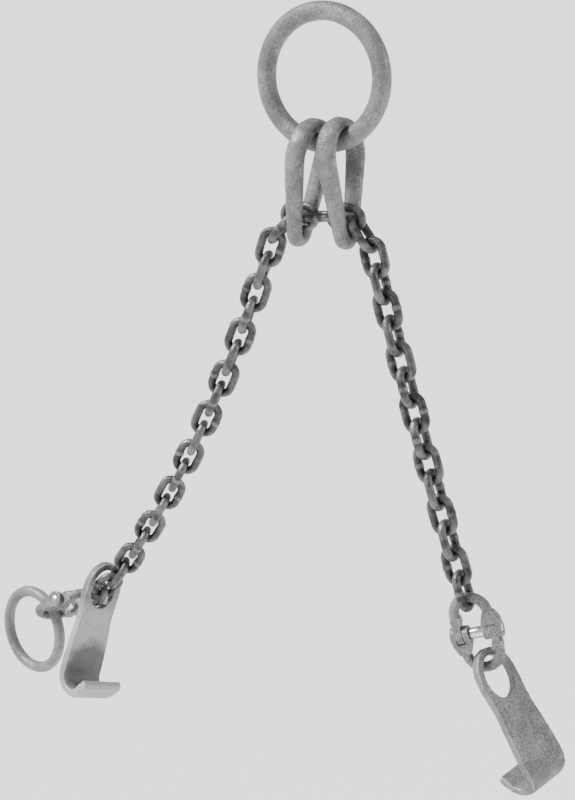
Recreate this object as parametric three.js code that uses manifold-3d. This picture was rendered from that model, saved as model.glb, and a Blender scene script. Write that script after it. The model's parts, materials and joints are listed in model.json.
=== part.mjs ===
// Two-leg chain sling. A round master ring carries two oblong links. One run of short-link chain
// passes through the feet of both oblong links, and its two ends are the legs. Each leg ends in a
// two-part coupling link: the right one holds a wide flat J-hook, the left one a small round ring,
// and a second J-hook hangs on the left leg, which passes through its eye.
//
// Millimetres and degrees. +X is to the right across the sling, +Y to its back and +Z up.
// The origin is the inner top of the master ring, where a crane hook bears.
import * as THREE from 'three';
import { mergeVertices } from 'three/addons/utils/BufferGeometryUtils.js';
import Module from 'manifold-3d';

const wasm = await Module();
wasm.setup();

// ---------------------------------------------------------------- driving dimensions
const GAP = 0.3; // between two pieces that bear on each other

const RING_WIRE = 17.5;
const RING_INSIDE = 100;

const OBLONG_ACROSS = 20; // bar section at the crown, across the link's plane
const OBLONG_FOOT_ACROSS = 15; // the same at the foot
const OBLONG_DEEP = 12.4; // bar section, in the link's plane
const OBLONG_INSIDE_LENGTH = 95.5;
const OBLONG_TOP_INSIDE = 43; // inside width of the wide end, on the ring
const OBLONG_FOOT_INSIDE = 6.5; // inside width of the narrow end, which the chain's bar wedges into
const LEFT_OBLONG = { round: 12.5, splay: 8.5 }; // seat from the ring's lowest point, and lean outwards
const RIGHT_OBLONG = { round: 21.8, splay: 4.6 };

const CHAIN_WIRE = 8;
const CHAIN_PITCH = 24;
const CHAIN_INSIDE_WIDTH = 11.1;
const LEFT_LINKS = 22;
const RIGHT_LINKS = 16;

const COUPLING_LENGTH = 80;
const COUPLING_WIDTH = 49;
const COUPLING_BAR = 10.2; // round bar of each bow
const COUPLING_LUG = 17; // diameter of the lugs round the pin
const COUPLING_LUG_WALL = 5.4;
const COUPLING_TONGUE = 6.2;
const COUPLING_SIDE_CLEARANCE = 0.4; // each side of a tongue in its fork
const COUPLING_PIN = 8;
const COUPLING_BUSH = 11;
const COUPLING_THICKNESS = 13.6; // of the shoulders between the bow and the lugs

const HOOK_PLATE = 8.5;
const HOOK_SHANK = 118; // top of the eye to the start of the bend
const HOOK_BEND_INSIDE = 13.5; // inside radius
const HOOK_BEND_ANGLE = 140; // degrees that the plate turns through
const HOOK_LIP = 15; // straight part past the bend
const HOOK_LIP_CHAMFER = 3;
const HOOK_EYE_WIDTH = 44;
const HOOK_HOLE_WIDTH = 29.5;
const HOOK_HOLE_LENGTH = 42;
const HOOK_EYE_CROWN = 7.5; // metal above the hole
const HOOK_NECK_WIDTH = 41;
const HOOK_NECK_DOWN = 60; // top of the eye to the narrowest part
const HOOK_FOOT_WIDTH = 48;

const END_RING_WIRE = 12;
const END_RING_INSIDE = 70;

// How the sling is spread. A swing is a lean to the right of plumb, a drift is a lean to the back,
// and a turn is the turn of a piece's face about the vertical, to the right of the front.
const LEFT_LEG = { first: -90, offFoot: -40.4, start: -20.3, spread: -12.7, flare: -3.8 };
const LEFT_DRIFT = { start: 2, growth: 2 };
const LEFT_TURN = { first: 4, second: 10, start: 16, growth: 14 };
const LEFT_ENDS = [
  { swing: -41, drift: 4, turn: 30, roll: -12 },
  { swing: -42.6, drift: 11, turn: 30, roll: -25.6 },
  { swing: -70, drift: 19, turn: 30, roll: -46 },
];
const RIGHT_LEG = { first: 84, offFoot: 37.3, start: 18.2 };
const RIGHT_DRIFT = { start: -3, growth: 4 };
const LEFT_COUPLING = {
  down: new THREE.Vector3(-0.883, -0.09, -0.434),
  width: new THREE.Vector3(0.34, 0.85, -0.38),
};
const RIGHT_COUPLING = {
  down: new THREE.Vector3(0.28, 0.15, -0.945),
  width: new THREE.Vector3(0.925, 0.22, 0.31),
};
const LEFT_HOOK = {
  down: new THREE.Vector3(-0.16, -0.2408, -0.9573),
  width: new THREE.Vector3(-0.3197, -0.9049, 0.2811),
  offset: new THREE.Vector3(-18.46, -8.36, -9.86), // its eye's top, seen from the link it hangs on
};
const RIGHT_HOOK = {
  down: new THREE.Vector3(0.5108, 0.071, -0.8568),
  width: new THREE.Vector3(0.2936, 0.9223, 0.2514),
  offset: new THREE.Vector3(1.27, 1.32, 17.52), // its eye's top, seen from the coupling's pin
};
const END_RING = {
  down: new THREE.Vector3(-0.643, 0.1225, -0.756),
  width: new THREE.Vector3(0.732, -0.192, -0.654),
};

// ---------------------------------------------------------------- derived sizes
const RING_RADIUS = (RING_INSIDE + RING_WIRE) / 2;
const LINK_RADIUS = (CHAIN_INSIDE_WIDTH + CHAIN_WIRE) / 2;
const LINK_INSIDE_LENGTH = CHAIN_PITCH + GAP;
const LINK_CROWN = (LINK_INSIDE_LENGTH + CHAIN_WIRE) / 2; // link centre to the bar at its crown
const BOW_CROWN = (COUPLING_LENGTH - COUPLING_BAR) / 2; // pin axis to the bar at a bow's crown
const END_RING_RADIUS = (END_RING_INSIDE + END_RING_WIRE) / 2;
const OBLONG_CENTRE_LINE = {
  topRadius: (OBLONG_TOP_INSIDE + OBLONG_DEEP) / 2,
  footRadius: (OBLONG_FOOT_INSIDE + OBLONG_DEEP) / 2,
  spacing: OBLONG_INSIDE_LENGTH - (OBLONG_TOP_INSIDE + OBLONG_FOOT_INSIDE) / 2,
};

// ---------------------------------------------------------------- finishes
const finish = (color, roughness, metalness) => ({ color, roughness, metalness });
const FORGED = finish(0xa3a3a1, 0.62, 0.55);
const CHAIN_STEEL = finish(0x5a5a5a, 0.5, 0.65);
const BRIGHT_STEEL = finish(0xd8d8d6, 0.25, 0.95);

const sling = new THREE.Group();

/** Adds one named piece with its own material, and returns it. */
function addPiece(name, geometry, { color, roughness, metalness }) {
  const material = new THREE.MeshStandardMaterial({ color, roughness, metalness });
  const mesh = new THREE.Mesh(geometry, material);
  mesh.name = name;
  sling.add(mesh);
  return mesh;
}

// ---------------------------------------------------------------- solids
/** A geometry with only positions and shared corners. */
function merged(geometry) {
  const bare = geometry.clone();
  bare.deleteAttribute('normal');
  bare.deleteAttribute('uv');
  return mergeVertices(bare, 1e-4);
}

function toSolid(geometry) {
  const bare = merged(geometry);
  const vertProperties = new Float32Array(bare.attributes.position.array);
  const triVerts = new Uint32Array(bare.index.array);
  return new wasm.Manifold(new wasm.Mesh({ numProp: 3, vertProperties, triVerts }));
}

function toGeometry(solid) {
  const { vertProperties, triVerts } = solid.getMesh();
  const geometry = new THREE.BufferGeometry();
  geometry.setAttribute('position', new THREE.BufferAttribute(vertProperties, 3));
  geometry.setIndex(new THREE.BufferAttribute(triVerts, 1));
  geometry.computeVertexNormals();
  return geometry;
}

/** A round bar along X between two places. */
function barAlongX(radius, from, to, sides) {
  const bar = new THREE.CylinderGeometry(radius, radius, to - from, sides);
  bar.rotateZ(-Math.PI / 2);
  bar.translate((from + to) / 2, 0, 0);
  return bar;
}

/** An outline drawn in X and Z, made solid along Y and centred on it. */
function plateAlongY(shape, thickness, curveSegments) {
  const plate = new THREE.ExtrudeGeometry(shape, { depth: thickness, bevelEnabled: false, curveSegments });
  plate.translate(0, 0, -thickness / 2);
  plate.applyMatrix4(
    new THREE.Matrix4().makeBasis(
      new THREE.Vector3(1, 0, 0),
      new THREE.Vector3(0, 0, 1),
      new THREE.Vector3(0, -1, 0),
    ),
  );
  return plate;
}

/** An outline drawn in Y and Z, made solid along X and centred on it. */
function plateAlongX(shape, thickness, curveSegments) {
  const plate = new THREE.ExtrudeGeometry(shape, { depth: thickness, bevelEnabled: false, curveSegments });
  plate.translate(0, 0, -thickness / 2);
  plate.applyMatrix4(
    new THREE.Matrix4().makeBasis(
      new THREE.Vector3(0, 1, 0),
      new THREE.Vector3(0, 0, 1),
      new THREE.Vector3(1, 0, 0),
    ),
  );
  return plate;
}

/**
 * A closed bar bent round two arcs that are joined by straights. It lies in XZ with its long axis
 * on Z and its top arc up, midway between its two crowns. The radii are the centre line's, spacing
 * is between the arcs' centres, and the section is oval: an across is along Y, and deep in the plane.
 */
function loopBar({ topRadius, footRadius, spacing, topAcross, footAcross, deep, sides, steps }) {
  const stations = 2 * (steps + 1);
  const bar = new THREE.TorusGeometry(1, 0.5, sides, stations);
  const { position, uv } = bar.attributes;
  const taper = Math.asin((topRadius - footRadius) / spacing);
  for (let i = 0; i < position.count; i += 1) {
    const station = Math.round(uv.getX(i) * stations) % stations;
    const round = uv.getY(i) * 2 * Math.PI;
    const onTop = station <= steps;
    const along = onTop ? station / steps : (station - steps - 1) / steps;
    const angle = onTop
      ? -taper + (Math.PI + 2 * taper) * along
      : Math.PI + taper + (Math.PI - 2 * taper) * along;
    const reach = (onTop ? topRadius : footRadius) + (deep / 2) * Math.cos(round);
    const centre = ((onTop ? spacing : -spacing) + footRadius - topRadius) / 2;
    position.setXYZ(
      i,
      reach * Math.cos(angle),
      (-(onTop ? topAcross : footAcross) / 2) * Math.sin(round),
      centre + reach * Math.sin(angle),
    );
  }
  const loop = merged(bar);
  loop.computeVertexNormals();
  return loop;
}

function chainLinkGeometry() {
  return loopBar({
    topRadius: LINK_RADIUS,
    footRadius: LINK_RADIUS,
    spacing: LINK_INSIDE_LENGTH - CHAIN_INSIDE_WIDTH,
    topAcross: CHAIN_WIRE,
    footAcross: CHAIN_WIRE,
    deep: CHAIN_WIRE,
    sides: 8,
    steps: 6,
  });
}

function oblongGeometry() {
  return loopBar({
    ...OBLONG_CENTRE_LINE,
    topAcross: OBLONG_ACROSS,
    footAcross: OBLONG_FOOT_ACROSS,
    deep: OBLONG_DEEP,
    sides: 12,
    steps: 10,
  });
}

/** A round ring standing in XZ. */
function ringGeometry(radius, wire, sides, steps) {
  const ring = new THREE.TorusGeometry(radius, wire / 2, sides, steps);
  ring.rotateX(Math.PI / 2);
  return merged(ring);
}

/**
 * One half of a coupling link, bow up, with the pin's axis on X. Its right end is a fork, two lugs
 * with a slot between them, and its left end is the tongue that fits the other half's slot.
 */
function couplingHalfGeometry() {
  const lug = COUPLING_LUG / 2;
  const outside = COUPLING_WIDTH / 2;
  const slotOuter = outside - COUPLING_LUG_WALL;
  const slotInner = slotOuter - COUPLING_TONGUE - 2 * COUPLING_SIDE_CLEARANCE;
  const inside = slotInner - COUPLING_LUG_WALL;
  const middle = (slotOuter + slotInner) / 2;
  const slotRoof = lug + 0.8;
  const shoulder = slotRoof + 9; // where the shoulders have run out into the bow
  const halfBar = COUPLING_BAR / 2;

  const bowStart = slotRoof + 1;
  const rise = BOW_CROWN - bowStart;
  const arcCentre = bowStart + rise - middle;
  const bowPoints = [new THREE.Vector3(middle, 0, bowStart)];
  const bowSteps = 10;
  for (let i = 0; i <= bowSteps; i += 1) {
    const angle = (Math.PI * i) / bowSteps;
    bowPoints.push(new THREE.Vector3(middle * Math.cos(angle), 0, arcCentre + middle * Math.sin(angle)));
  }
  bowPoints.push(new THREE.Vector3(-middle, 0, bowStart));
  const section = new THREE.Shape();
  const sides = 10;
  for (let i = 0; i < sides; i += 1) {
    const angle = (2 * Math.PI * i) / sides;
    const corner = [halfBar * Math.cos(angle), halfBar * Math.sin(angle)];
    if (i === 0) section.moveTo(...corner);
    else section.lineTo(...corner);
  }
  const bow = new THREE.ExtrudeGeometry(section, {
    steps: 14,
    bevelEnabled: false,
    extrudePath: new THREE.CatmullRomCurve3(bowPoints),
  });

  const forkRoot = new THREE.Shape([
    new THREE.Vector2(inside, 0),
    new THREE.Vector2(outside, 0),
    new THREE.Vector2(outside, slotRoof),
    new THREE.Vector2(middle + halfBar, shoulder),
    new THREE.Vector2(middle - halfBar, shoulder),
    new THREE.Vector2(inside, slotRoof),
  ]);
  const tongueHalf = COUPLING_TONGUE / 2;
  const tongueRoot = new THREE.Shape([
    new THREE.Vector2(-middle - tongueHalf, 0),
    new THREE.Vector2(-middle + tongueHalf, 0),
    new THREE.Vector2(-middle + tongueHalf, slotRoof),
    new THREE.Vector2(-middle + halfBar, slotRoof + 3),
    new THREE.Vector2(-middle + halfBar, shoulder),
    new THREE.Vector2(-middle - halfBar, shoulder),
    new THREE.Vector2(-middle - halfBar, slotRoof + 3),
    new THREE.Vector2(-middle - tongueHalf, slotRoof),
  ]);
  const lugSides = 24;
  const shoulders = new THREE.Shape([
    new THREE.Vector2(-COUPLING_THICKNESS / 2, 0),
    new THREE.Vector2(COUPLING_THICKNESS / 2, 0),
    new THREE.Vector2(COUPLING_THICKNESS / 2, lug / 2),
    new THREE.Vector2(halfBar, shoulder),
    new THREE.Vector2(-halfBar, shoulder),
    new THREE.Vector2(-COUPLING_THICKNESS / 2, lug / 2),
  ]);
  return toGeometry(
    toSolid(plateAlongY(forkRoot, COUPLING_LUG))
      .add(toSolid(plateAlongY(tongueRoot, COUPLING_LUG)))
      .intersect(toSolid(plateAlongX(shoulders, 2 * COUPLING_WIDTH)))
      .add(toSolid(barAlongX(lug, inside, outside, lugSides)))
      .subtract(toSolid(barAlongX(slotRoof, slotInner, slotOuter, lugSides)))
      .add(toSolid(barAlongX(lug, -middle - tongueHalf, -middle + tongueHalf, lugSides)))
      .add(toSolid(bow))
      .subtract(toSolid(barAlongX(COUPLING_PIN / 2 + GAP, -outside - 1, outside + 1, 16))),
  );
}

function couplingPinGeometry() {
  const half = COUPLING_WIDTH / 2 - GAP;
  return barAlongX(COUPLING_PIN / 2, -half, half, 16);
}

function couplingBushGeometry() {
  const space = COUPLING_WIDTH / 2 - 2 * COUPLING_LUG_WALL - COUPLING_TONGUE - 2 * COUPLING_SIDE_CLEARANCE;
  const half = space - GAP;
  return toGeometry(
    toSolid(barAlongX(COUPLING_BUSH / 2, -half, half, 16)).subtract(
      toSolid(barAlongX(COUPLING_PIN / 2 + GAP, -half - 1, half + 1, 16)),
    ),
  );
}

/** The hook's outline from the front: eye, neck and a foot that widens towards the bend. */
function hookOutline(bottom) {
  const eyeHalf = HOOK_EYE_WIDTH / 2;
  const eyeMiddle = -(HOOK_EYE_CROWN + HOOK_HOLE_LENGTH / 2);
  const neck = HOOK_NECK_WIDTH / 2;
  const foot = HOOK_FOOT_WIDTH / 2;
  const down = -HOOK_NECK_DOWN;
  const shape = new THREE.Shape();
  shape.moveTo(0, 0);
  shape.bezierCurveTo(eyeHalf * 0.62, 0, eyeHalf, eyeMiddle * 0.5, eyeHalf, eyeMiddle);
  shape.bezierCurveTo(eyeHalf, eyeMiddle - 14, neck, down + 14, neck, down);
  shape.bezierCurveTo(neck, down - 12, foot, -HOOK_SHANK + 30, foot, -HOOK_SHANK + 4);
  shape.bezierCurveTo(foot, bottom + 6, foot - 2, bottom, foot - 9, bottom);
  shape.lineTo(9 - foot, bottom);
  shape.bezierCurveTo(2 - foot, bottom, -foot, bottom + 6, -foot, -HOOK_SHANK + 4);
  shape.bezierCurveTo(-foot, -HOOK_SHANK + 30, -neck, down - 12, -neck, down);
  shape.bezierCurveTo(-neck, down + 14, -eyeHalf, eyeMiddle - 14, -eyeHalf, eyeMiddle);
  shape.bezierCurveTo(-eyeHalf, eyeMiddle * 0.5, -eyeHalf * 0.62, 0, 0, 0);
  return shape;
}

/** The hook's side profile, drawn in Y and Z: a straight shank, the bend and the lip. */
function hookProfile() {
  const half = HOOK_PLATE / 2;
  const inner = HOOK_BEND_INSIDE;
  const outer = inner + HOOK_PLATE;
  const middle = half + inner;
  const start = Math.PI;
  const end = Math.PI + THREE.MathUtils.degToRad(HOOK_BEND_ANGLE);
  const along = new THREE.Vector2(-Math.sin(end), Math.cos(end));
  const point = (radius, past) =>
    new THREE.Vector2(
      middle + radius * Math.cos(end) + past * along.x,
      -HOOK_SHANK + radius * Math.sin(end) + past * along.y,
    );
  const shape = new THREE.Shape();
  shape.moveTo(half, 1);
  shape.lineTo(-half, 1);
  shape.lineTo(-half, -HOOK_SHANK);
  shape.absarc(middle, -HOOK_SHANK, outer, start, end, false);
  const outerCorner = point(outer, HOOK_LIP - HOOK_LIP_CHAMFER);
  const endCorner = point(outer - HOOK_LIP_CHAMFER, HOOK_LIP);
  const innerCorner = point(inner, HOOK_LIP);
  shape.lineTo(outerCorner.x, outerCorner.y);
  shape.lineTo(endCorner.x, endCorner.y);
  shape.lineTo(innerCorner.x, innerCorner.y);
  shape.absarc(middle, -HOOK_SHANK, inner, end, start, true);
  return shape;
}

/** A wide flat J-hook, its eye up at the origin and its lip towards +Y. */
function hookGeometry() {
  const bottom = -(HOOK_SHANK + HOOK_BEND_INSIDE + HOOK_PLATE + 1);
  const deep = 2 * (HOOK_BEND_INSIDE + HOOK_PLATE) + 2 * HOOK_PLATE + 2 * HOOK_LIP;
  const hole = new THREE.Shape();
  const holeMiddle = -(HOOK_EYE_CROWN + HOOK_HOLE_LENGTH / 2);
  hole.absellipse(0, holeMiddle, HOOK_HOLE_WIDTH / 2, HOOK_HOLE_LENGTH / 2, 0, 2 * Math.PI, false);
  const outline = toSolid(plateAlongY(hookOutline(bottom), 2 * deep, 5));
  const profile = toSolid(plateAlongX(hookProfile(), HOOK_FOOT_WIDTH + 10, 10));
  const cutter = toSolid(plateAlongY(hole, 2 * HOOK_PLATE, 12));
  return toGeometry(profile.intersect(outline).subtract(cutter));
}

// ---------------------------------------------------------------- hanging one piece on another
/** The direction of a piece that hangs at these leans. */
function leaning(swing, drift) {
  const s = THREE.MathUtils.degToRad(swing);
  const d = THREE.MathUtils.degToRad(drift);
  return new THREE.Vector3(Math.sin(s) * Math.cos(d), Math.sin(d), -Math.cos(s) * Math.cos(d));
}

/** The direction of a face turned this far to the right of the front. */
function facing(turn) {
  const angle = THREE.MathUtils.degToRad(turn);
  return new THREE.Vector3(Math.sin(angle), -Math.cos(angle), 0);
}

/** Turns a piece so that it hangs along a direction with its width along another. */
function poseOf(down, width) {
  const z = down.clone().negate().normalize();
  const x = width.clone().addScaledVector(z, -width.dot(z)).normalize();
  const y = new THREE.Vector3().crossVectors(z, x);
  return new THREE.Quaternion().setFromRotationMatrix(new THREE.Matrix4().makeBasis(x, y, z));
}

/**
 * Hangs a piece's crown on a bar of the piece above, GAP clear of it. A seat is the bar's middle
 * (at), its direction (bar), its half thickness (radius) and the way back up (up). A piece has a
 * quaternion, the distance from its own middle up to its crown, and its crown's half thickness.
 */
function hang(seat, quaternion, crown, radius) {
  const x = new THREE.Vector3(1, 0, 0).applyQuaternion(quaternion);
  const z = new THREE.Vector3(0, 0, 1).applyQuaternion(quaternion);
  const between = new THREE.Vector3().crossVectors(seat.bar, x).normalize();
  if (between.dot(seat.up) < 0) between.negate();
  const half = typeof radius === 'function' ? radius(between) : radius;
  const pivot = seat.at.clone().addScaledVector(between, seat.radius + half + GAP);
  return { pivot, quaternion, x, z, position: pivot.clone().addScaledVector(z, -crown) };
}

/** The lower crown of a placed loop, as the seat for the next piece. */
function footSeat(placed, crown, radius) {
  const at = placed.position.clone().addScaledVector(placed.z, -crown);
  return { at, bar: placed.x, radius, up: placed.z };
}

function put(mesh, placed) {
  mesh.position.copy(placed.position);
  mesh.quaternion.copy(placed.quaternion);
}

// ---------------------------------------------------------------- ring and oblong links
const ringCentre = new THREE.Vector3(0, 0, -RING_INSIDE / 2);
addPiece('master_ring', ringGeometry(RING_RADIUS, RING_WIRE, 12, 56), FORGED).position.copy(ringCentre);

/** Half thickness of an oblong's oval bar, measured at a tilt from its plane. */
function oblongHalf(tilt) {
  return Math.hypot((OBLONG_DEEP / 2) * Math.cos(tilt), (OBLONG_ACROSS / 2) * Math.sin(tilt));
}

/** Hangs an oblong link on the ring: side is -1 on the left and 1 on the right. */
function hangOblong(name, side) {
  const seat = side < 0 ? LEFT_OBLONG : RIGHT_OBLONG;
  const round = THREE.MathUtils.degToRad(seat.round);
  const splay = THREE.MathUtils.degToRad(seat.splay);
  const inward = new THREE.Vector3(-side * Math.sin(round), 0, Math.cos(round));
  const bar = ringCentre.clone().addScaledVector(inward, -RING_RADIUS);
  const crown = bar.addScaledVector(inward, RING_WIRE / 2 + GAP + oblongHalf(round - splay));
  const z = new THREE.Vector3(-side * Math.sin(splay), 0, Math.cos(splay));
  const quaternion = poseOf(z.clone().negate(), new THREE.Vector3(0, 1, 0));
  const reach = (OBLONG_INSIDE_LENGTH + OBLONG_DEEP) / 2;
  const mesh = addPiece(name, oblongGeometry(), FORGED);
  put(mesh, { quaternion, position: crown.clone().addScaledVector(z, -reach) });
  return crown.addScaledVector(z, -2 * reach + wedgeHeight()); // the chain's bar in its foot
}

/** How high a chain bar wedges above the middle of an oblong's foot bar. */
function wedgeHeight() {
  const { topRadius, footRadius, spacing } = OBLONG_CENTRE_LINE;
  const taper = (topRadius - footRadius) / spacing;
  const needed = (CHAIN_WIRE + OBLONG_DEEP) / 2 + GAP;
  return footRadius + Math.max((needed - footRadius) / taper, -Math.sqrt(footRadius ** 2 - needed ** 2) || 0);
}

const leftBar = hangOblong('oblong_link_left', -1);
const rightBar = hangOblong('oblong_link_right', 1);

// ---------------------------------------------------------------- chain
/**
 * Where the bridge link's crown holds the first link of a leg, so that this link's lower bar lies
 * on an oblong's foot: side is -1 on the left and 1 on the right.
 */
function bridgeEnd(side, bar, swing) {
  const droop = THREE.MathUtils.degToRad(90 - Math.abs(swing));
  const along = Math.abs(bar.x) - LINK_CROWN;
  return new THREE.Vector3(side * LINK_CROWN, 0, bar.z + LINK_RADIUS / Math.cos(droop) + along * Math.tan(droop));
}

// The link that bridges the two oblongs is nearly level, and edge on.
const leftEnd = bridgeEnd(-1, leftBar, LEFT_LEG.first);
const rightEnd = bridgeEnd(1, rightBar, RIGHT_LEG.first);
const bridge = {
  position: leftEnd.clone().add(rightEnd).divideScalar(2),
  quaternion: poseOf(rightEnd.clone().sub(leftEnd), new THREE.Vector3(0, 1, 0)),
};
put(addPiece('chain_link_bridge', chainLinkGeometry(), CHAIN_STEEL), bridge);

/** The seat at either end of the bridge link: side is -1 on the left and 1 on the right. */
function bridgeSeat(side) {
  const out = rightEnd.clone().sub(leftEnd).normalize().multiplyScalar(side);
  return {
    at: bridge.position.clone().addScaledVector(out, LINK_CROWN),
    bar: new THREE.Vector3(0, 1, 0),
    radius: CHAIN_WIRE / 2,
    up: out.clone().negate(),
  };
}

/**
 * Lays one leg from the bridge link outwards. Odd links show their face and even ones their edge.
 * route(k) gives link k's swing, drift and turn, and its roll about its own length. It returns
 * every placed link.
 */
function layLeg(side, count, route) {
  const sideName = side < 0 ? 'left' : 'right';
  const links = [];
  let seat = bridgeSeat(side);
  for (let k = 1; k <= count; k += 1) {
    const { swing, drift, turn, roll } = route(k);
    const down = leaning(swing, drift);
    const face = facing(turn).applyAxisAngle(down, THREE.MathUtils.degToRad(roll));
    const width = k % 2 === 1 ? new THREE.Vector3().crossVectors(face, down) : face;
    const placed = hang(seat, poseOf(down, width), LINK_CROWN, CHAIN_WIRE / 2);
    const name = `chain_link_${sideName}_${String(k).padStart(2, '0')}`;
    put(addPiece(name, chainLinkGeometry(), CHAIN_STEEL), placed);
    links.push(placed);
    seat = footSeat(placed, LINK_CROWN, CHAIN_WIRE / 2);
  }
  return links;
}

const leftLinks = layLeg(-1, LEFT_LINKS, (k) => {
  const straight = LEFT_LINKS - LEFT_ENDS.length;
  if (k > straight) return LEFT_ENDS[k - straight - 1];
  if (k === 1) return { swing: LEFT_LEG.first, drift: 0, turn: LEFT_TURN.first, roll: 0 };
  if (k === 2) return { swing: LEFT_LEG.offFoot, drift: 0, turn: LEFT_TURN.second, roll: 0 };
  const t = (k - 3) / (straight - 3);
  return {
    swing: LEFT_LEG.start + LEFT_LEG.spread * t + LEFT_LEG.flare * t * t,
    drift: LEFT_DRIFT.start + LEFT_DRIFT.growth * t,
    turn: LEFT_TURN.start + LEFT_TURN.growth * t,
    roll: 0,
  };
});

const rightLinks = layLeg(1, RIGHT_LINKS, (k) => {
  if (k === 1) return { swing: RIGHT_LEG.first, drift: 0, turn: 0, roll: 0 };
  if (k === 2) return { swing: RIGHT_LEG.offFoot, drift: 0, turn: 0, roll: 0 };
  const t = (k - 3) / (RIGHT_LINKS - 3);
  return { swing: RIGHT_LEG.start, drift: RIGHT_DRIFT.start + RIGHT_DRIFT.growth * t, turn: 0, roll: 0 };
});

// ---------------------------------------------------------------- coupling links
/**
 * Joins a coupling link to the last chain link. Returns its lower half's place and the seat at
 * the lower bow.
 */
function hangCoupling(side, lastLink, { down, width }) {
  const seat = footSeat(lastLink, LINK_CROWN, CHAIN_WIRE / 2);
  const upper = hang(seat, poseOf(down, width), BOW_CROWN, COUPLING_BAR / 2);
  put(addPiece(`coupling_${side}_upper_half`, couplingHalfGeometry(), FORGED), upper);
  put(addPiece(`coupling_${side}_pin`, couplingPinGeometry(), BRIGHT_STEEL), upper);
  put(addPiece(`coupling_${side}_bush`, couplingBushGeometry(), BRIGHT_STEEL), upper);
  const turned = new THREE.Quaternion().setFromAxisAngle(new THREE.Vector3(0, 1, 0), Math.PI);
  const lower = { position: upper.position, quaternion: upper.quaternion.clone().multiply(turned) };
  put(addPiece(`coupling_${side}_lower_half`, couplingHalfGeometry(), FORGED), lower);
  return { lower, seat: footSeat(upper, BOW_CROWN, COUPLING_BAR / 2) };
}

const leftCoupling = hangCoupling('left', leftLinks.at(-1), LEFT_COUPLING);
const rightCoupling = hangCoupling('right', rightLinks.at(-1), RIGHT_COUPLING);

// ---------------------------------------------------------------- hooks and end ring
/** Hangs a hook with its eye's top at an offset seen from the piece it hangs on. */
function hangHook(name, holder, { down, width, offset }) {
  const position = offset.clone().applyQuaternion(holder.quaternion).add(holder.position);
  put(addPiece(name, hookGeometry(), FORGED), { position, quaternion: poseOf(down, width) });
}

// The left leg passes through the left hook's eye, which hangs on the last link but two. The
// right hook hangs on the lower bow of the right coupling.
hangHook('hook_left', leftLinks.at(-3), LEFT_HOOK);
hangHook('hook_right', rightCoupling.lower, RIGHT_HOOK);

put(
  addPiece('end_ring', ringGeometry(END_RING_RADIUS, END_RING_WIRE, 10, 40), FORGED),
  hang(leftCoupling.seat, poseOf(END_RING.down, END_RING.width), END_RING_RADIUS, END_RING_WIRE / 2),
);

export default sling;
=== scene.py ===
"""A chain sling hanging from its master ring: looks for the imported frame."""

import json
import logging
import math
from dataclasses import dataclass, replace
from enum import Enum
from typing import Any

import bpy
import numpy as np
from mathutils import Matrix, Vector

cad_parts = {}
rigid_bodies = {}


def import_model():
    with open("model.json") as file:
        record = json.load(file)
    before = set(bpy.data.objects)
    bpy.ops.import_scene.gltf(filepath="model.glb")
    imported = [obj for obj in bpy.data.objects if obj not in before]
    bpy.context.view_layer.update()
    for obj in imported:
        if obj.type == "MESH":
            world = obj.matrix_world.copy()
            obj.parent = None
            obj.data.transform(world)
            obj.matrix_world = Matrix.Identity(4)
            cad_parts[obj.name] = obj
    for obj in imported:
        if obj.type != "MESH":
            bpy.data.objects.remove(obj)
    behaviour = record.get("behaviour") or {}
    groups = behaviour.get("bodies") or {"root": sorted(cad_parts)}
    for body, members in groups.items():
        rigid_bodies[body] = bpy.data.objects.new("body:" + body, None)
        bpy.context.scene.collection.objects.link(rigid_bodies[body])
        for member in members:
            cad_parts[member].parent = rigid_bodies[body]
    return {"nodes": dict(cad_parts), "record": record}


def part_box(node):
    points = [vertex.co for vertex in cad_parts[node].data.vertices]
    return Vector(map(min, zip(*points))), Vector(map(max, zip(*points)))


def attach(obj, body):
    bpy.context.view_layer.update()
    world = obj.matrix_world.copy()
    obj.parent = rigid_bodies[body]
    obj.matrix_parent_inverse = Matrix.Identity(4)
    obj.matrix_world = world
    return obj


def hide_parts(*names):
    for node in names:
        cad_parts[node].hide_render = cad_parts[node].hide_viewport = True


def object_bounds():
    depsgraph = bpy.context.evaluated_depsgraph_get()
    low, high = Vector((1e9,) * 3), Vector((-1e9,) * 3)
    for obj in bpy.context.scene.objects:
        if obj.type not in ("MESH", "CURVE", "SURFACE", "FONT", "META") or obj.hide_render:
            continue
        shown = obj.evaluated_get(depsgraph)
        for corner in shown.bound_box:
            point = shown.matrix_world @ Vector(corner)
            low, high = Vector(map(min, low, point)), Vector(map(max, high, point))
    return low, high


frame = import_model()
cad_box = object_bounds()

log = logging.getLogger("sling")
MM = 0.001
SAME_POINT = 0.01 * MM


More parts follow.
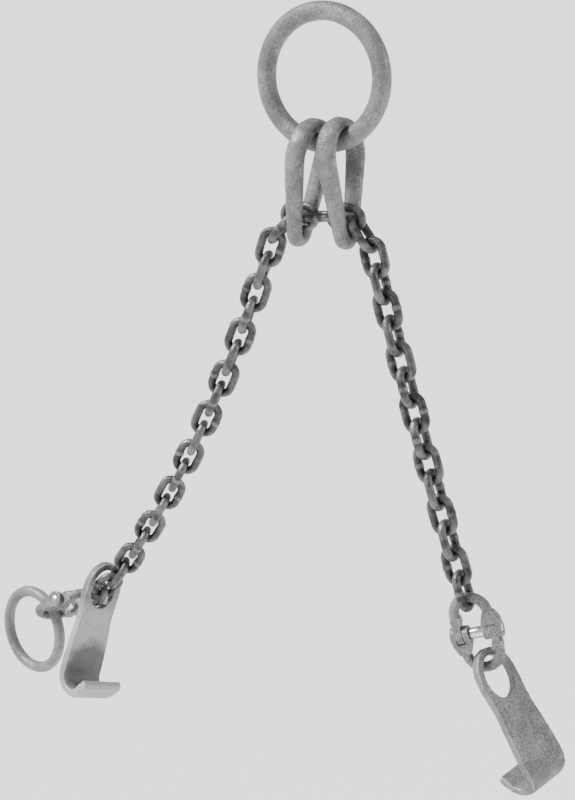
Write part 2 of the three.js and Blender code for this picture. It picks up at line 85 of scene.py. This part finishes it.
# ---------------------------------------------------------------- shader building
@dataclass
class Wire:
    """One output socket of a node tree, with arithmetic that adds Math nodes."""

    shop: "Shop"
    socket: Any

    def _math(self, operation: str, first: Any, second: Any) -> "Wire":
        """Adds one Math node and returns its output."""
        node = self.shop.add("ShaderNodeMath", {"operation": operation}, {0: first, 1: second})
        return Wire(self.shop, node.outputs[0])

    def __add__(self, other: Any) -> "Wire":
        """self + other."""
        return self._math("ADD", self, other)

    def __radd__(self, other: Any) -> "Wire":
        """other + self."""
        return self._math("ADD", other, self)

    def __sub__(self, other: Any) -> "Wire":
        """self - other."""
        return self._math("SUBTRACT", self, other)

    def __rsub__(self, other: Any) -> "Wire":
        """other - self."""
        return self._math("SUBTRACT", other, self)

    def __mul__(self, other: Any) -> "Wire":
        """self * other."""
        return self._math("MULTIPLY", self, other)

    def __rmul__(self, other: Any) -> "Wire":
        """other * self."""
        return self._math("MULTIPLY", other, self)

    def between(self, low: float, high: float) -> "Wire":
        """A smooth mask, 0 at or below low and 1 at or above high.

        Args:
            low: where the mask is 0.
            high: where the mask is 1.

        Returns:
            The mask.
        """
        settings = {"interpolation_type": "SMOOTHSTEP"}
        inputs = {"Value": self, "From Min": low, "From Max": high}
        node = self.shop.add("ShaderNodeMapRange", settings, inputs)
        return Wire(self.shop, node.outputs["Result"])


@dataclass
class Shop:
    """A material's node tree and the ways of adding to it."""

    tree: Any

    def add(self, kind: str, settings: dict[str, Any], inputs: dict[Any, Any]) -> Any:
        """Adds any node.

        Args:
            kind: the node's type.
            settings: its own properties, set first.
            inputs: values or wires, by socket name or number.

        Returns:
            The node.
        """
        node = self.tree.nodes.new(kind)
        for name, value in settings.items():
            setattr(node, name, value)
        for key, value in inputs.items():
            if isinstance(value, Wire):
                self.tree.links.new(value.socket, node.inputs[key])
            else:
                node.inputs[key].default_value = value
        return node

    def place(self) -> Wire:
        """The place on the piece, in metres."""
        return Wire(self, self.add("ShaderNodeTexCoord", {}, {}).outputs["Object"])

    def noise(self, scale: float, detail: float, roughness: float) -> Wire:
        """Cloudy variation.

        Args:
            scale: blotches in a metre, roughly.
            detail: how many finer layers it has.
            roughness: how strong the finer layers are.

        Returns:
            A value around 0.5.
        """
        inputs = {"Vector": self.place(), "Scale": scale, "Detail": detail, "Roughness": roughness}
        return Wire(self, self.add("ShaderNodeTexNoise", {}, inputs).outputs[0])

    def cells(self, scale: float) -> Wire:
        """Distance to the nearest of many scattered points.

        Args:
            scale: points in a metre.

        Returns:
            The distance, 0 at a point.
        """
        inputs = {"Vector": self.place(), "Scale": scale}
        return Wire(self, self.add("ShaderNodeTexVoronoi", {}, inputs).outputs["Distance"])

    def reach(self, spot: tuple[float, float, float]) -> Wire:
        """Distance from a spot, in metres."""
        inputs = {0: self.place(), 1: spot}
        node = self.add("ShaderNodeVectorMath", {"operation": "DISTANCE"}, inputs)
        return Wire(self, node.outputs["Value"])

    def edges(self) -> Wire:
        """How sharply the surface turns outwards, 0.5 where it is flat."""
        return Wire(self, self.add("ShaderNodeNewGeometry", {}, {}).outputs["Pointiness"])

    def blend(self, mask: Wire, first: Any, second: Any) -> Wire:
        """Mixes two colours.

        Args:
            mask: 0 gives the first colour and 1 the second.
            first: a colour, or a wire.
            second: a colour, or a wire.

        Returns:
            The mixed colour.
        """
        node = self.add("ShaderNodeMix", {"data_type": "RGBA"}, {0: mask, 6: first, 7: second})
        return Wire(self, node.outputs[2])


def grey(value: float, warmth: float = 0.0) -> tuple[float, float, float, float]:
    """A grey with a little warmth.

    Args:
        value: its brightness, linear.
        warmth: how far red is over blue.

    Returns:
        The colour with full alpha.
    """
    return (value * (1 + warmth), value, value * (1 - warmth), 1.0)


@dataclass(frozen=True)
class Cloud:
    """A cloudy pattern, and the values between which its mask runs from 0 to 1."""

    scale: float
    detail: float
    roughness: float
    low: float = 0.0
    high: float = 1.0

    def plain(self, shop: Shop) -> Wire:
        """Adds the pattern itself to a material, a value around 0.5."""
        return shop.noise(self.scale, self.detail, self.roughness)

    def mask(self, shop: Shop) -> Wire:
        """Adds the pattern's mask to a material.

        Args:
            shop: the material's node tree.

        Returns:
            The mask.
        """
        return self.plain(shop).between(self.low, self.high)


@dataclass(frozen=True)
class Coat:
    """A layer of grey: how much it hides, and how its shade compares with the finish's."""

    cover: float
    shade: float

    def over(self, body: Wire, mask: Wire, shade: float, warmth: float = 0.0) -> Wire:
        """Lays the coat over a colour.

        Args:
            body: the colour under it.
            mask: where it lies.
            shade: the finish's shade that it starts from.
            warmth: how far red is over blue.

        Returns:
            The coated colour.
        """
        return body.shop.blend(mask * self.cover, body, grey(shade * self.shade, warmth))


BLOTCHES = Cloud(scale=26.0, detail=5.0, roughness=0.6, low=0.36, high=0.66)
SPECKLE = Cloud(scale=520.0, detail=3.0, roughness=0.75, low=0.46, high=0.62)
STREAKS = Cloud(scale=85.0, detail=4.0, roughness=0.65, low=0.50, high=0.64)
PIT_FIELDS = Cloud(scale=150.0, detail=2.0, roughness=0.5, low=0.40, high=0.62)
RUBBING = Cloud(scale=90.0, detail=3.0, roughness=0.6, low=0.30, high=0.62)
RAGGED_EDGE = Cloud(scale=110.0, detail=3.0, roughness=0.6)
FINE_GRAIN = Cloud(scale=1500.0, detail=2.0, roughness=0.6)
WAVES = Cloud(scale=130.0, detail=2.0, roughness=0.5)

# Where a pit ends, by the distance from its middle, and where a surface counts as sunk, to be
# darkened with painted shade.
PIT_SPAN = (0.12, 0.34)
HOLLOW_SHADE_SPAN = (0.42, 0.495)

# How far from the bend the polish and the burn fade out, and how far their edge wanders.
POLISHED_SPAN = (62 * MM, 92 * MM)
BURNT_SPAN = (28 * MM, 44 * MM)
EDGE_WANDER = 16 * MM

SPECKLE_COAT = Coat(cover=0.55, shade=0.62)
STREAK_COAT = Coat(cover=0.2, shade=0.8)
PIT_COAT = Coat(cover=0.75, shade=0.35)
# painted shade: darkens hollows and creases as if shade fell in them
HOLLOW_SHADE_COAT = Coat(cover=0.7, shade=0.4)
POLISHED_COAT = Coat(cover=0.42, shade=1.0)
BURNT_COAT = Coat(cover=0.8, shade=0.42)

# What each pattern adds to the roughness.
BASE_ROUGH = 0.06
BLOTCH_ROUGH = -0.08
PIT_ROUGH = 0.15
WEAR_ROUGH = -0.14

# How high each pattern stands in the bump, as a share of the bump's depth.
FINE_RISE = 0.25
SPECKLE_RISE = 0.35
PIT_RISE = -1.0
WAVE_RISE = 0.9
BUMP_DEPTH = 0.6 * MM


@dataclass(frozen=True)
class SteelFinish:
    """The look of one kind of steel surface."""

    name: str
    shade: float
    dark_shade: float
    worn_shade: float
    metallic: float
    roughness: float
    pit_depth: float
    warmth: float = 0.01
    pit_scale: float = 430.0
    scorch: tuple[float, float, float] | None = None
    edge_low: float = 0.515
    edge_high: float = 0.56

    def material(self) -> bpy.types.Material:
        """Builds the material, or returns the one built before."""
        made = bpy.data.materials.get(self.name)
        if made:
            return made
        made = bpy.data.materials.new(self.name)
        made.use_nodes = True
        shop = Shop(made.node_tree)
        shop.tree.nodes.clear()
        blotch = BLOTCHES.mask(shop)
        speckle = SPECKLE.mask(shop)
        streaks = STREAKS.mask(shop)
        pit_fields = PIT_FIELDS.mask(shop)
        pits = (1 - shop.cells(self.pit_scale).between(*PIT_SPAN)) * pit_fields
        rubbed = RUBBING.mask(shop)
        wear = shop.edges().between(self.edge_low, self.edge_high) * rubbed
        body = shop.blend(blotch, grey(self.dark_shade, self.warmth), grey(self.shade, self.warmth))
        body = SPECKLE_COAT.over(body, speckle, self.dark_shade, self.warmth)
        body = STREAK_COAT.over(body, streaks, self.worn_shade, self.warmth)
        body = PIT_COAT.over(body, pits, self.dark_shade, self.warmth)
        # painted shade: hollows and creases are darkened in the colour, standing in for the shade
        # that falls there
        painted_hollow_shade = 1 - shop.edges().between(*HOLLOW_SHADE_SPAN)
        body = HOLLOW_SHADE_COAT.over(body, painted_hollow_shade, self.dark_shade, self.warmth)
        if self.scorch:
            ragged = shop.reach(self.scorch) + RAGGED_EDGE.plain(shop) * EDGE_WANDER
            polished = 1 - ragged.between(*POLISHED_SPAN)
            body = POLISHED_COAT.over(body, polished, self.worn_shade)
            burnt = 1 - ragged.between(*BURNT_SPAN)
            body = BURNT_COAT.over(body, burnt, self.dark_shade)
        body = shop.blend(wear, body, grey(self.worn_shade))
        rough = blotch * BLOTCH_ROUGH + (self.roughness + BASE_ROUGH)
        rough = rough + pits * PIT_ROUGH + wear * WEAR_ROUGH
        height = FINE_GRAIN.plain(shop) * FINE_RISE + speckle * SPECKLE_RISE
        height = height + pits * PIT_RISE + WAVES.plain(shop) * WAVE_RISE
        bump_inputs = {"Strength": self.pit_depth, "Distance": BUMP_DEPTH, "Height": height}
        bump = Wire(shop, shop.add("ShaderNodeBump", {}, bump_inputs).outputs[0])
        inputs = {
            "Base Color": body,
            "Metallic": self.metallic,
            "Roughness": rough,
            "Normal": bump,
        }
        surface = shop.add("ShaderNodeBsdfPrincipled", {}, inputs)
        shader = Wire(shop, surface.outputs[0])
        shop.add("ShaderNodeOutputMaterial", {}, {"Surface": shader})
        return made


class Finish(Enum):
    """The finishes on the sling, with the record's slot of each."""

    FORGED = "forged_steel"
    CHAIN = "chain_steel"
    BRIGHT = "bright_steel"


FINISHES = {
    Finish.FORGED: SteelFinish(
        name="forged_grey_steel",
        shade=0.235,
        dark_shade=0.145,
        worn_shade=0.60,
        metallic=0.40,
        roughness=0.44,
        pit_depth=0.85,
    ),
    Finish.CHAIN: SteelFinish(
        name="dark_chain_steel",
        shade=0.048,
        dark_shade=0.020,
        worn_shade=0.24,
        metallic=0.50,
        roughness=0.34,
        pit_depth=0.5,
        warmth=0.0,
    ),
    Finish.BRIGHT: SteelFinish(
        name="bright_turned_steel",
        shade=0.60,
        dark_shade=0.45,
        worn_shade=0.8,
        metallic=0.90,
        roughness=0.26,
        pit_depth=0.10,
    ),
}


# ---------------------------------------------------------------- mesh helpers
def deselect_all() -> None:
    """Leaves object mode with nothing selected."""
    if bpy.context.object and bpy.context.object.mode != "OBJECT":
        bpy.ops.object.mode_set(mode="OBJECT")
    bpy.ops.object.select_all(action="DESELECT")


def select_only(piece: bpy.types.Object) -> None:
    """Makes a piece the only selected one, and active."""
    deselect_all()
    piece.select_set(True)
    bpy.context.view_layer.objects.active = piece


def body_of(node: str) -> str:
    """The name of the body that a CAD node belongs to."""
    bodies = frame["record"]["behaviour"]["bodies"]
    return next(body for body, nodes in bodies.items() if node in nodes)


@dataclass
class Pose:
    """Where a CAD node lies: its middle, its axes from the longest to the shortest, its sizes."""

    middle: Vector
    axes: Matrix
    sizes: tuple[float, float, float]

    @staticmethod
    def of(node: str) -> "Pose":
        """Reads the pose of a node from its mesh.

        Args:
            node: the CAD node's name.

        Returns:
            Its pose. The columns of axes are its width, its front-to-back way and its length.
        """
        mesh = frame["nodes"][node].data
        points = np.empty(len(mesh.vertices) * 3)
        mesh.vertices.foreach_get("co", points)
        points = np.unique(points.reshape(-1, 3).round(7), axis=0)
        away = points - points.mean(axis=0)
        _, ways = np.linalg.eigh(away.T @ away)
        through, across, along = ways[:, 0], ways[:, 1], ways[:, 2]
        along = along * (1 if along[2] >= 0 else -1)
        through = through * (1 if through[1] >= 0 else -1)
        across = np.cross(through, along)
        spans = []
        middle = np.zeros(3)
        for way in (across, through, along):
            reach = points @ way
            spans.append(float(reach.max() - reach.min()))
            middle += way * (reach.max() + reach.min()) / 2
        axes = Matrix(np.stack([across, through, along], axis=1).tolist())
        return Pose(Vector(middle.tolist()), axes, (spans[0], spans[1], spans[2]))

    def matrix(self) -> Matrix:
        """The transform from a piece built at the origin to this pose."""
        return Matrix.Translation(self.middle) @ self.axes.to_4x4()


def fix_place(piece: bpy.types.Object, matrix: Matrix) -> None:
    """Moves a piece and leaves its place in its mesh."""
    select_only(piece)
    piece.matrix_world = matrix
    bpy.ops.object.transform_apply(location=True, rotation=True, scale=True)


def hand_over(
    piece: bpy.types.Object,
    name: str,
    node: str,
    finish: Finish,
    look: SteelFinish | None = None,
) -> None:
    """Names and dresses a finished piece, and lets it stand for its CAD node.

    Args:
        piece: the finished piece.
        name: the piece's new name.
        node: the CAD node that it replaces.
        finish: its finish.
        look: a look of its own, in place of the finish's usual one.
    """
    piece.name = name
    piece.data.name = name
    piece.data.materials.clear()
    piece.data.materials.append((look or FINISHES[finish]).material())
    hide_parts(node)
    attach(piece, body_of(node))
    log.info("%s: %d faces, for %s", name, len(piece.data.polygons), node)


def apply_modifier(piece: bpy.types.Object, kind: str, settings: dict[str, Any]) -> None:
    """Adds one modifier and applies it.

    Args:
        piece: the piece to change.
        kind: the modifier's type.
        settings: its properties.
    """
    select_only(piece)
    modifier = piece.modifiers.new(kind.lower(), kind)
    for name, value in settings.items():
        setattr(modifier, name, value)
    bpy.ops.object.modifier_apply(modifier=modifier.name)


def hammer(piece: bpy.types.Object, depth: float, size: float) -> None:
    """Gives a forging its slight unevenness.

    Args:
        piece: the piece to change.
        depth: how far the surface wanders.
        size: how wide the hollows are.
    """
    name = f"unevenness_{size * 1000:.0f}"
    texture = bpy.data.textures.get(name) or bpy.data.textures.new(name, "CLOUDS")
    texture.noise_scale = size
    texture.noise_depth = 1
    apply_modifier(piece, "DISPLACE", {"texture": texture, "strength": depth, "mid_level": 0.5})


def copy_of(source: bpy.types.Object) -> bpy.types.Object:
    """A copy of an object with its own mesh, free of any parent."""
    select_only(source)
    bpy.ops.object.duplicate(linked=False)
    piece = bpy.context.view_layer.objects.active
    bpy.ops.object.parent_clear(type="CLEAR_KEEP_TRANSFORM")
    return piece


def closed_copy(node: str) -> bpy.types.Object:
    """A copy of a CAD node as one closed skin.

    Args:
        node: the CAD node's name.

    Returns:
        The copy.
    """
    piece = copy_of(frame["nodes"][node])
    bpy.ops.object.mode_set(mode="EDIT")
    bpy.ops.mesh.select_all(action="SELECT")
    bpy.ops.mesh.remove_doubles(threshold=SAME_POINT)
    bpy.ops.mesh.normals_make_consistent(inside=False)
    bpy.ops.object.mode_set(mode="OBJECT")
    return piece


def upright_ring(
    radius: float, half_wire: float, steps_round: int, steps_wire: int
) -> bpy.types.Object:
    """A round wire ring at the origin, standing in X and Z.

    Args:
        radius: from its middle to the middle of its wire.
        half_wire: half the wire's thickness.
        steps_round: faces round the ring.
        steps_wire: faces round the wire.

    Returns:
        The ring.
    """
    deselect_all()
    bpy.ops.mesh.primitive_torus_add(
        major_segments=steps_round,
        minor_segments=steps_wire,
        major_radius=radius,
        minor_radius=half_wire,
        rotation=(math.pi / 2, 0, 0),
    )
    ring = bpy.context.object
    bpy.ops.object.transform_apply(location=True, rotation=True, scale=True)
    return ring


# ---------------------------------------------------------------- pieces
@dataclass
class RoundRing:
    """A forged round ring."""

    node: str
    steps_round: int = 144
    steps_wire: int = 32
    unevenness: float = 0.25 * MM
    hollow_width: float = 14 * MM

    def build(self) -> bpy.types.Object:
        """Builds the ring in place of its CAD node.

        Returns:
            The finished piece.
        """
        pose = Pose.of(self.node)
        wire = pose.sizes[1] / 2
        radius = (pose.sizes[0] + pose.sizes[2]) / 4 - wire
        ring = upright_ring(radius, wire, self.steps_round, self.steps_wire)
        hammer(ring, self.unevenness, self.hollow_width)
        bpy.ops.object.shade_smooth()
        fix_place(ring, pose.matrix())
        hand_over(ring, f"{self.node}_forging", self.node, Finish.FORGED)
        return ring


@dataclass
class Forging:
    """A forging with softened edges, raised from its plain CAD solid."""

    node: str
    grain: float = 0.8 * MM
    softening: int = 6
    finish: Finish = Finish.FORGED
    look: SteelFinish | None = None
    unevenness: float = 0.3 * MM
    hollow_width: float = 9 * MM

    def build(self) -> bpy.types.Object:
        """Builds the forging in place of its CAD node.

        Returns:
            The finished piece.
        """
        piece = closed_copy(self.node)
        apply_modifier(piece, "REMESH", {"mode": "VOXEL", "voxel_size": self.grain})
        apply_modifier(piece, "SMOOTH", {"factor": 0.5, "iterations": self.softening})
        hammer(piece, self.unevenness, self.hollow_width)
        bpy.ops.object.shade_smooth()
        hand_over(piece, f"{self.node}_forging", self.node, self.finish, self.look)
        return piece


@dataclass
class TurnedPiece:
    """A pin or a bush, turned bright, with its corners broken."""

    node: str
    corner: float = 0.4 * MM
    sharp: float = 0.9
    crease: float = math.radians(35)

    def build(self) -> bpy.types.Object:
        """Builds the turned piece in place of its CAD node.

        Returns:
            The finished piece.
        """
        piece = closed_copy(self.node)
        settings = {
            "width": self.corner,
            "segments": 2,
            "limit_method": "ANGLE",
            "angle_limit": self.sharp,
        }
        apply_modifier(piece, "BEVEL", settings)
        bpy.ops.object.shade_smooth_by_angle(angle=self.crease)
        hand_over(piece, f"{self.node}_turned", self.node, Finish.BRIGHT)
        return piece


@dataclass
class ChainLinks:
    """Every link of the short-link chain, modelled once and copied."""

    steps_round: int = 48
    steps_wire: int = 16
    bead_swell: float = 1.13
    bead_half: float = 2.2 * MM
    bead_cuts: tuple[float, ...] = (-1.5, -1, -0.5, 0.5, 1, 1.5)
    bead_reaches: tuple[float, ...] = (1.05, 0.55)
    unevenness: float = 0.12 * MM
    hollow_width: float = 7 * MM

    def model(self, sizes: tuple[float, float, float]) -> bpy.types.Object:
        """Models one link, upright at the origin, with a weld bead on one bar.

        Args:
            sizes: its width, its wire and its length.

        Returns:
            The link.
        """
        width, wire, length = sizes
        radius = (width - wire) / 2
        stretch = (length - width) / 2
        link = upright_ring(radius, wire / 2, self.steps_round, self.steps_wire)
        for side in (-1, 1):
            self.pick(link, lambda co, s=side: co.z * s > SAME_POINT)
            bpy.ops.transform.translate(value=(0, 0, side * stretch))
        for share in self.bead_cuts:
            self.pick(link, lambda co: True)
            height = self.bead_half * share
            bpy.ops.mesh.bisect(plane_co=(0, 0, height), plane_no=(0, 0, 1))
        bar = (-radius, 0, 0)
        swell = 1 + (self.bead_swell - 1) * 0.5
        for share in self.bead_reaches:  # the bead's foot swells once and its crown twice
            limit = self.bead_half * share
            self.pick(link, lambda co, r=limit: co.x < 0 and abs(co.z) < r)
            bpy.ops.transform.resize(value=(swell, swell, 1), center_override=bar)
        bpy.ops.object.mode_set(mode="OBJECT")
        hammer(link, self.unevenness, self.hollow_width)
        bpy.ops.object.shade_smooth()
        return link

    def pick(self, piece: bpy.types.Object, wanted: Any) -> None:
        """Enters edit mode with only the vertices selected that a test picks.

        Args:
            piece: the piece.
            wanted: the test, given a vertex's place.
        """
        select_only(piece)
        bpy.ops.object.mode_set(mode="EDIT")
        bpy.ops.mesh.select_mode(type="VERT")
        bpy.ops.mesh.select_all(action="DESELECT")
        bpy.ops.object.mode_set(mode="OBJECT")
        for vertex in piece.data.vertices:
            vertex.select = bool(wanted(vertex.co))
        bpy.ops.object.mode_set(mode="EDIT")

    def build(self) -> None:
        """Builds every link in place of its CAD node."""
        nodes = sorted(node for node in frame["nodes"] if node.startswith("chain_link"))
        master = self.model(Pose.of(nodes[0]).sizes)
        for number, node in enumerate(nodes):
            link = copy_of(master)
            # the bead changes sides after every second link
            flip = Matrix.Rotation(math.pi * (number // 2 % 2), 4, "Z")
            fix_place(link, Pose.of(node).matrix() @ flip)
            hand_over(link, f"{node}_wire", node, Finish.CHAIN)
        bpy.data.objects.remove(master, do_unlink=True)


# ---------------------------------------------------------------- studio
@dataclass
class Studio:
    """The floor, the lights and the camera."""

    eye: tuple[float, float, float] = (0.88481, -1.59657, 0.10841)
    aim: tuple[float, float, float] = (-0.03697, 0.0, -0.35124)
    lens: float = 127.0
    floor_below: float = 1.2
    floor_width: float = 600.0
    floor_shade: float = 0.95
    floor_roughness: float = 0.9
    backdrop: float = 0.62
    sun_place: tuple[float, float, float] = (-1.7, -1.0, 1.9)
    sun_width: float = math.radians(22)
    sun_power: float = 7.0
    lamp_place: tuple[float, float, float] = (2.4, 0.9, 0.4)
    lamp_size: float = 1.2
    lamp_power: float = 24.0

    def build(self) -> None:
        """Builds the studio round the sling."""
        self.floor()
        self.world()
        self.sun()
        self.lamp()
        self.camera()

    def floor(self) -> None:
        """A pale floor well below the sling."""
        deselect_all()
        height = float(cad_box[0][2]) - self.floor_below
        bpy.ops.mesh.primitive_plane_add(size=self.floor_width, location=(0, 0, height))
        floor = bpy.context.object
        floor.name = "studio_floor"
        bpy.ops.object.transform_apply(location=True, rotation=True, scale=True)
        made = bpy.data.materials.new("floor_paint")
        made.use_nodes = True
        paint = made.node_tree.nodes["Principled BSDF"]
        paint.inputs["Base Color"].default_value = grey(self.floor_shade)
        paint.inputs["Roughness"].default_value = self.floor_roughness
        floor.data.materials.append(made)

    def world(self) -> None:
        """Even pale light from all round."""
        world = bpy.data.worlds.new("studio_air")
        bpy.context.scene.world = world
        world.use_nodes = True
        air = world.node_tree.nodes["Background"]
        air.inputs["Color"].default_value = grey(self.backdrop)
        air.inputs["Strength"].default_value = 1.0

    def sun(self) -> None:
        """Adds the wide soft overhead light."""
        deselect_all()
        turn = (-Vector(self.sun_place)).to_track_quat("-Z", "Y").to_euler()
        bpy.ops.object.light_add(type="SUN", location=self.sun_place, rotation=turn)
        sun = bpy.context.object
        sun.name = "overhead_light"
        sun.data.angle = self.sun_width
        sun.data.energy = self.sun_power

    def lamp(self) -> None:
        """Adds a soft box light at the side, aimed at the sling."""
        deselect_all()
        turn = self.towards_aim(self.lamp_place)
        bpy.ops.object.light_add(type="AREA", location=self.lamp_place, rotation=turn)
        lamp = bpy.context.object
        lamp.name = "side_light"
        lamp.data.size = self.lamp_size
        lamp.data.energy = self.lamp_power

    def towards_aim(self, place: tuple[float, float, float]) -> Any:
        """The turn that faces a light or the camera from a place to the aim."""
        way = Vector(self.aim) - Vector(place)
        return way.to_track_quat("-Z", "Y").to_euler()

    def camera(self) -> None:
        """Sets up the camera."""
        deselect_all()
        turn = self.towards_aim(self.eye)
        bpy.ops.object.camera_add(location=self.eye, rotation=turn)
        camera = bpy.context.object
        camera.data.lens = self.lens
        camera.data.sensor_fit = "HORIZONTAL"
        bpy.context.scene.camera = camera


BEND_ACROSS = 0.28  # the bend's place across the hook's box, from its low side
BEND_HEIGHT = 30 * MM  # the bend's height over the foot of the hook's box


def scorched_hook_look() -> SteelFinish:
    """The left hook's look: rubbed bright on the inside and burnt dark in the bend."""
    low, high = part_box("hook_left")
    bend = (
        float(low[0]) * (1 - BEND_ACROSS) + float(high[0]) * BEND_ACROSS,
        (float(low[1]) + float(high[1])) / 2,
        float(low[2]) + BEND_HEIGHT,
    )
    return replace(FINISHES[Finish.FORGED], name="scorched_forged_steel", scorch=bend)


def main() -> None:
    """Builds the sling from the ring down, then the studio."""
    logging.basicConfig(level=logging.INFO, format="%(message)s")
    RoundRing("master_ring").build()
    RoundRing("end_ring", steps_round=112, steps_wire=24).build()
    for side in ("left", "right"):
        Forging(f"oblong_link_{side}", grain=1.0 * MM).build()
        look = scorched_hook_look() if side == "left" else None
        Forging(f"hook_{side}", grain=1.0 * MM, look=look).build()
        for half in ("upper", "lower"):
            Forging(f"coupling_{side}_{half}_half", grain=0.7 * MM, softening=4).build()
        for part in ("pin", "bush"):
            TurnedPiece(f"coupling_{side}_{part}").build()
    ChainLinks().build()
    Studio().build()


if __name__ == "__main__":
    main()
